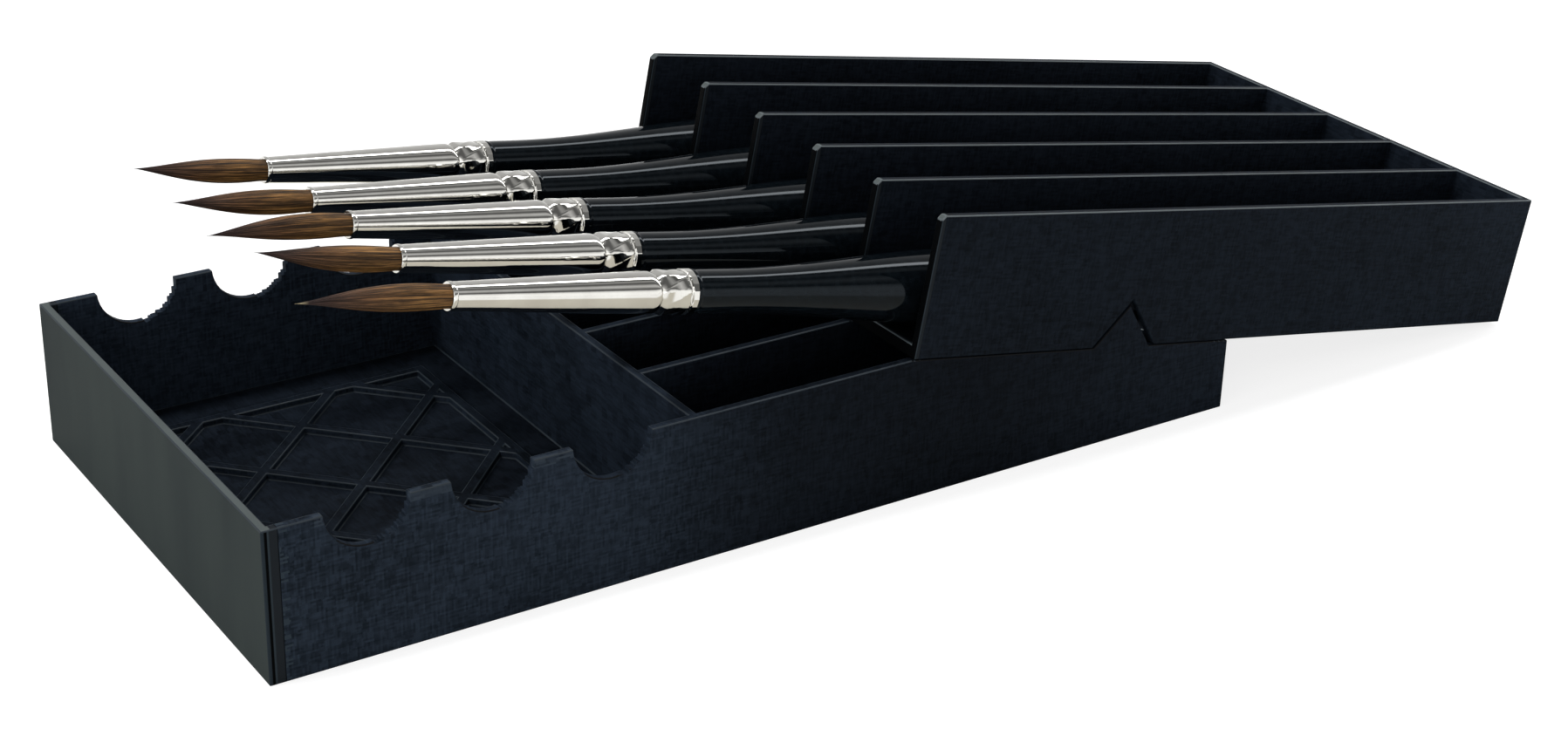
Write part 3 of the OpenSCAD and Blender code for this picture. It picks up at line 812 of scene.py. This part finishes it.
def paleFloor():
    # White paper: pale grey for the light that it gives back, warm grey near the box as painted shade and
    # then white as metal shows it, and white with the box's shadow for the camera
    material, tree = newMaterial("paleFloor")
    rays = addNode(tree, "ShaderNodeLightPath").outputs
    place = addNode(tree, "ShaderNodeTexCoord").outputs["Object"]
    distance = addNode(tree, "ShaderNodeVectorMath", {0: place}, operation="LENGTH").outputs["Value"]
    far = addNode(tree, "ShaderNodeMapRange", {"Value": distance, "From Min": studio["floorFar"][0],
                                               "From Max": studio["floorFar"][1]})
    mirrored = addNode(tree, "ShaderNodeMix",
                       {0: far.outputs[0], 6: srgb(studio["floorMirroredShade"]), 7: srgb("#ffffff")}, **asColour)
    seen = addNode(tree, "ShaderNodeMath", {0: rays["Is Camera Ray"], 1: rays["Is Glossy Ray"]},
                   operation="MAXIMUM")
    seen = addNode(tree, "ShaderNodeMath", {0: seen.outputs[0], 1: rays["Is Transmission Ray"]},
                   operation="MAXIMUM")
    colour = addNode(tree, "ShaderNodeMix",
                     {0: seen.outputs[0], 6: srgb(studio["floorShaded"]), 7: mirrored.outputs[2]}, **asColour)
    colour = addNode(tree, "ShaderNodeMix",
                     {0: rays["Is Camera Ray"], 6: colour.outputs[2], 7: srgb(studio["floorLit"])},
                     **asColour)
    lit = addNode(tree, "ShaderNodeBsdfDiffuse", {"Color": colour.outputs[2]})
    strength = addNode(tree, "ShaderNodeMath", {0: rays["Is Camera Ray"], 1: studio["floorGlow"]},
                       operation="MULTIPLY")
    glow = addNode(tree, "ShaderNodeEmission", {"Color": (1, 1, 1, 1), "Strength": strength.outputs[0]})
    surface = addNode(tree, "ShaderNodeAddShader", {0: lit.outputs[0], 1: glow.outputs[0]})
    addNode(tree, "ShaderNodeOutputMaterial", {"Surface": surface.outputs[0]})
    return material


def studioSky():
    # Light banks by the angle round the box's long axis, and a soft box on the left; white to the camera
    world = bpy.data.worlds.new("studioSky")
    world.use_nodes = True
    tree = world.node_tree
    tree.nodes.clear()
    direction = addNode(tree, "ShaderNodeTexCoord").outputs["Generated"]
    x, y, z = addNode(tree, "ShaderNodeSeparateXYZ", {0: direction}).outputs
    front = addNode(tree, "ShaderNodeMath", {0: y, 1: -1.0}, operation="MULTIPLY")
    lift = addNode(tree, "ShaderNodeMath", {0: z, 1: front.outputs[0]}, operation="ARCTAN2")
    turn = addNode(tree, "ShaderNodeMath", {0: lift.outputs[0], 1: 1 / math.pi}, operation="MULTIPLY")
    banks = setRamp(addNode(tree, "ShaderNodeValToRGB", {0: turn.outputs[0]}),
                    [(angle / 180, level / studio["bankPeak"]) for angle, level in studio["banks"]])
    toLeft = addNode(tree, "ShaderNodeMapRange",
                     {"Value": x, "From Min": studio["sideLeft"][0], "From Max": studio["sideLeft"][1],
                      "To Max": studio["sideBank"] / studio["bankPeak"]})
    toTop = addNode(tree, "ShaderNodeMapRange",
                    {"Value": z, "From Min": studio["sideUp"][0], "From Max": studio["sideUp"][1]})
    side = addNode(tree, "ShaderNodeMath", {0: toLeft.outputs[0], 1: toTop.outputs[0]}, operation="MULTIPLY")
    lights = addNode(tree, "ShaderNodeMix", {0: 1.0, 6: banks.outputs[0], 7: side.outputs[0]},
                     data_type="RGBA", blend_type="ADD")
    sky = addNode(tree, "ShaderNodeBackground", {"Color": lights.outputs[2], "Strength": studio["bankPeak"]})
    paper = addNode(tree, "ShaderNodeBackground", {"Color": (1, 1, 1, 1), "Strength": 1.0})
    below = mask(tree, (z, "below", 0.0))
    cameraRay = addNode(tree, "ShaderNodeLightPath").outputs["Is Camera Ray"]
    white = addNode(tree, "ShaderNodeMath", {0: below, 1: cameraRay}, operation="MAXIMUM")
    mix = addNode(tree, "ShaderNodeMixShader", {0: white.outputs[0], 1: sky.outputs[0], 2: paper.outputs[0]})
    addNode(tree, "ShaderNodeOutputWorld", {"Surface": mix.outputs[0]})
    return world


half = studio["floorSize"] / 2
floorMesh = bpy.data.meshes.new("floor")
floorMesh.from_pydata([(-half, -half, 0), (half, -half, 0), (half, half, 0), (-half, half, 0)], [],
                      [(0, 1, 2, 3)])
floorMesh.materials.append(paleFloor())
floor = bpy.data.objects.new("floor", floorMesh)
bpy.context.scene.collection.objects.link(floor)
bpy.context.scene.world = studioSky()


print("camera")
view = {"lens": 62.39, "sensor": 36,                        # mm
        "place": (-0.238579, -0.399512, 0.233333),          # m
        "turn": (64.64395, -1.49076, -33.23096)}            # degrees
cameraData = bpy.data.cameras.new("camera")
cameraData.sensor_width = view["sensor"]
cameraData.sensor_fit = "HORIZONTAL"
cameraData.lens = view["lens"]
camera = bpy.data.objects.new("camera", cameraData)
bpy.context.scene.collection.objects.link(camera)
camera.location = view["place"]
camera.rotation_euler = Euler([math.radians(a) for a in view["turn"]], "XYZ")
bpy.context.scene.camera = camera
bpy.context.scene.view_settings.view_transform = "Standard"
